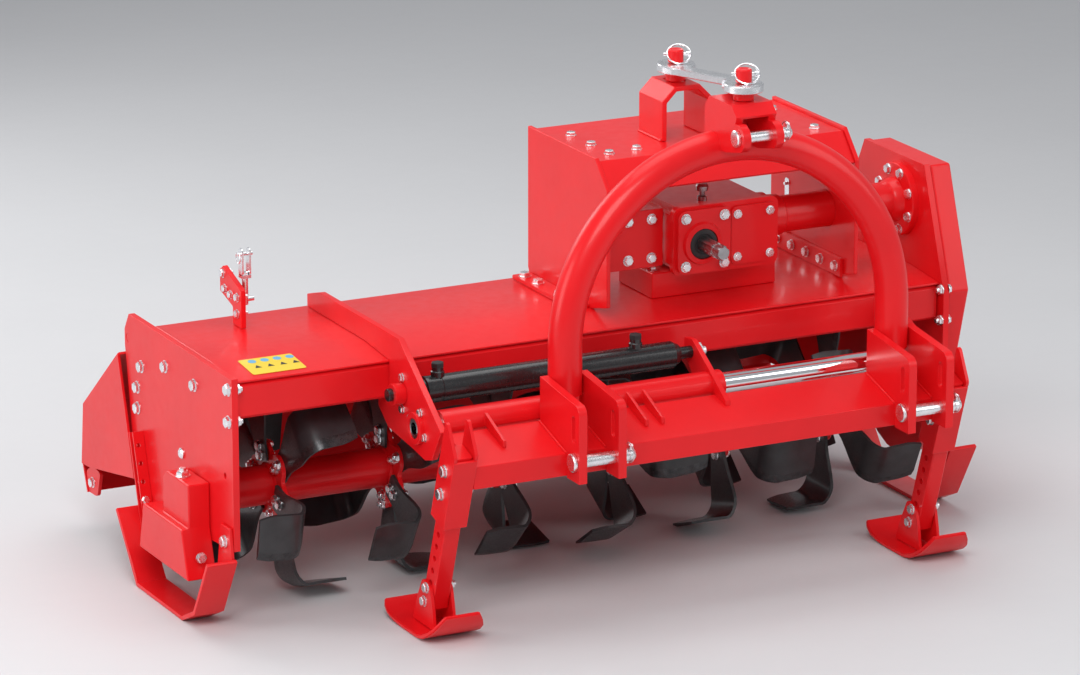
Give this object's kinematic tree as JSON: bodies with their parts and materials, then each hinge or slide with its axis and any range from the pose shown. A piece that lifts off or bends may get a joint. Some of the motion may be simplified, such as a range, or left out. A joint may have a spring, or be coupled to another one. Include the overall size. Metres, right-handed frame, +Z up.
{
  "type": "rotary tiller",
  "caption": "Tractor-mounted rotary tiller with a bladed rotor under a hood, side gear drive, sliding three-point hitch frame with a cylinder, parking stands and a tailgate.",
  "frame": {"origin": "on the ground under the middle of the bounding box, parked on skids and stands", "axes": "+X along the rotor towards the gear case, +Y from the tractor side towards the tailgate, +Z up"},
  "size_m": [1.9486, 1.221, 1.198],
  "materials": {
    "hood_deck_finish": "gloss red paint on steel",
    "left_side_plate_finish": "gloss red paint on steel",
    "right_side_plate_finish": "gloss red paint on steel",
    "gear_case_finish": "gloss red paint on steel",
    "front_beam_finish": "gloss red paint on steel",
    "left_rib_finish": "gloss red paint on steel",
    "right_bar_bracket_finish": "gloss red paint on steel",
    "slide_bar_finish": "hard chrome on a ground bar",
    "cylinder_rod_finish": "hard chrome on a ground bar",
    "rod_clamp_finish": "gloss red paint on steel",
    "headstock_left_plate_finish": "gloss red paint on steel",
    "headstock_right_plate_finish": "gloss red paint on steel",
    "headstock_top_finish": "gloss red paint on steel",
    "link_bracket_finish": "gloss red paint on steel",
    "gearbox_finish": "gloss red paint on a cast housing",
    "gearbox_cover_finish": "gloss red paint on steel",
    "shaft_seal_finish": "satin black paint on steel",
    "gearbox_base_finish": "gloss red paint on steel",
    "gearbox_plate_finish": "gloss red paint on steel",
    "drive_tube_finish": "gloss red paint on steel",
    "bearing_guard_finish": "gloss red paint on steel",
    "left_skid_finish": "gloss red paint on steel",
    "right_skid_finish": "gloss red paint on steel",
    "left_skid_strap_finish": "gloss red paint on steel",
    "right_skid_strap_finish": "gloss red paint on steel",
    "left_adjuster_bracket_finish": "gloss red paint on steel",
    "right_adjuster_bracket_finish": "gloss red paint on steel",
    "rotor_tube_finish": "gloss red paint on steel",
    "rotor_flange_1_finish": "satin black paint on steel",
    "rotor_flange_2_finish": "satin black paint on steel",
    "rotor_flange_3_finish": "satin black paint on steel",
    "rotor_flange_4_finish": "satin black paint on steel",
    "rotor_flange_5_finish": "satin black paint on steel",
    "rotor_flange_6_finish": "satin black paint on steel",
    "pto_shaft_finish": "bare machined steel",
    "tailgate_finish": "gloss red paint on steel",
    "hitch_beam_finish": "gloss red paint on steel",
    "slide_sleeve_finish": "gloss red paint on steel",
    "hitch_arch_finish": "gloss red paint on steel",
    "top_fork_finish": "gloss red paint on steel",
    "top_pin_finish": "zinc-plated steel",
    "cylinder_barrel_finish": "satin black paint on steel",
    "cylinder_lug_finish": "gloss red paint on steel",
    "left_clevis_outer_plate_finish": "gloss red paint on steel",
    "left_clevis_inner_plate_finish": "gloss red paint on steel",
    "left_clevis_pin_finish": "zinc-plated steel",
    "right_clevis_outer_plate_finish": "gloss red paint on steel",
    "right_clevis_inner_plate_finish": "gloss red paint on steel",
    "right_clevis_pin_finish": "zinc-plated steel",
    "left_stand_guide_finish": "gloss red paint on steel",
    "right_stand_guide_finish": "gloss red paint on steel",
    "top_link_finish": "zinc-plated steel",
    "link_front_pin_finish": "gloss red paint on steel",
    "link_rear_pin_finish": "gloss red paint on steel",
    "left_stand_finish": "gloss red paint on steel",
    "right_stand_finish": "gloss red paint on steel"
  },
  "bodies": {
    "machine": {"hood_deck": "hood_deck_finish", "left_side_plate": "left_side_plate_finish", "right_side_plate": "right_side_plate_finish", "gear_case": "gear_case_finish", "front_beam": "front_beam_finish", "left_rib": "left_rib_finish", "right_bar_bracket": "right_bar_bracket_finish", "slide_bar": "slide_bar_finish", "cylinder_rod": "cylinder_rod_finish", "rod_clamp": "rod_clamp_finish", "headstock_left_plate": "headstock_left_plate_finish", "headstock_right_plate": "headstock_right_plate_finish", "headstock_top": "headstock_top_finish", "link_bracket": "link_bracket_finish", "gearbox": "gearbox_finish", "gearbox_cover": "gearbox_cover_finish", "shaft_seal": "shaft_seal_finish", "gearbox_base": "gearbox_base_finish", "gearbox_plate": "gearbox_plate_finish", "drive_tube": "drive_tube_finish", "bearing_guard": "bearing_guard_finish", "left_skid": "left_skid_finish", "right_skid": "right_skid_finish", "left_skid_strap": "left_skid_strap_finish", "right_skid_strap": "right_skid_strap_finish", "left_adjuster_bracket": "left_adjuster_bracket_finish", "right_adjuster_bracket": "right_adjuster_bracket_finish"},
    "rotor": {"rotor_tube": "rotor_tube_finish", "rotor_flange_1": "rotor_flange_1_finish", "rotor_flange_2": "rotor_flange_2_finish", "rotor_flange_3": "rotor_flange_3_finish", "rotor_flange_4": "rotor_flange_4_finish", "rotor_flange_5": "rotor_flange_5_finish", "rotor_flange_6": "rotor_flange_6_finish"},
    "pto": {"pto_shaft": "pto_shaft_finish"},
    "tailgate": {"tailgate": "tailgate_finish"},
    "shift_frame": {"hitch_beam": "hitch_beam_finish", "slide_sleeve": "slide_sleeve_finish", "hitch_arch": "hitch_arch_finish", "top_fork": "top_fork_finish", "top_pin": "top_pin_finish", "cylinder_barrel": "cylinder_barrel_finish", "cylinder_lug": "cylinder_lug_finish", "left_clevis_outer_plate": "left_clevis_outer_plate_finish", "left_clevis_inner_plate": "left_clevis_inner_plate_finish", "left_clevis_pin": "left_clevis_pin_finish", "right_clevis_outer_plate": "right_clevis_outer_plate_finish", "right_clevis_inner_plate": "right_clevis_inner_plate_finish", "right_clevis_pin": "right_clevis_pin_finish", "left_stand_guide": "left_stand_guide_finish", "right_stand_guide": "right_stand_guide_finish"},
    "top_link": {"top_link": "top_link_finish", "link_front_pin": "link_front_pin_finish", "link_rear_pin": "link_rear_pin_finish"},
    "left_stand": {"left_stand": "left_stand_finish"},
    "right_stand": {"right_stand": "right_stand_finish"}
  },
  "joints": [
    {"name": "rotor_spin", "type": "hinge", "parent": "machine", "child": "rotor", "pos_m": [0, -0.0105, 0.248], "axis": [1, 0, 0], "continuous": true},
    {"name": "pto_spin", "type": "hinge", "parent": "machine", "child": "pto", "pos_m": [0.305, -0.2005, 0.715], "axis": [0, 1, 0], "continuous": true},
    {"name": "tailgate_hinge", "type": "hinge", "parent": "machine", "child": "tailgate", "pos_m": [0, 0.3375, 0.522], "axis": [1, 0, 0], "range_deg": [0, 45]},
    {"name": "side_shift", "type": "slide", "parent": "machine", "child": "shift_frame", "axis": [1, 0, 0], "range_m": [0, 0.2]},
    {"name": "link_swing", "type": "hinge", "parent": "shift_frame", "child": "top_link", "pos_m": [0.23, -0.4755, 1.157], "axis": [0, 0, 1], "range_deg": [0, 22.5]},
    {"name": "left_stand_slide", "type": "slide", "parent": "shift_frame", "child": "left_stand", "axis": [0, -0.3134, 0.9496], "range_m": [0, 0.15]},
    {"name": "right_stand_slide", "type": "slide", "parent": "shift_frame", "child": "right_stand", "axis": [0, -0.3134, 0.9496], "range_m": [0, 0.15]}
  ],
  "couplings": [
    {"joint": "pto_spin", "follows": "rotor_spin", "ratio": -2.4},
    {"joint": "link_swing", "follows": "side_shift", "rad_per_m": 1.95}
  ]
}
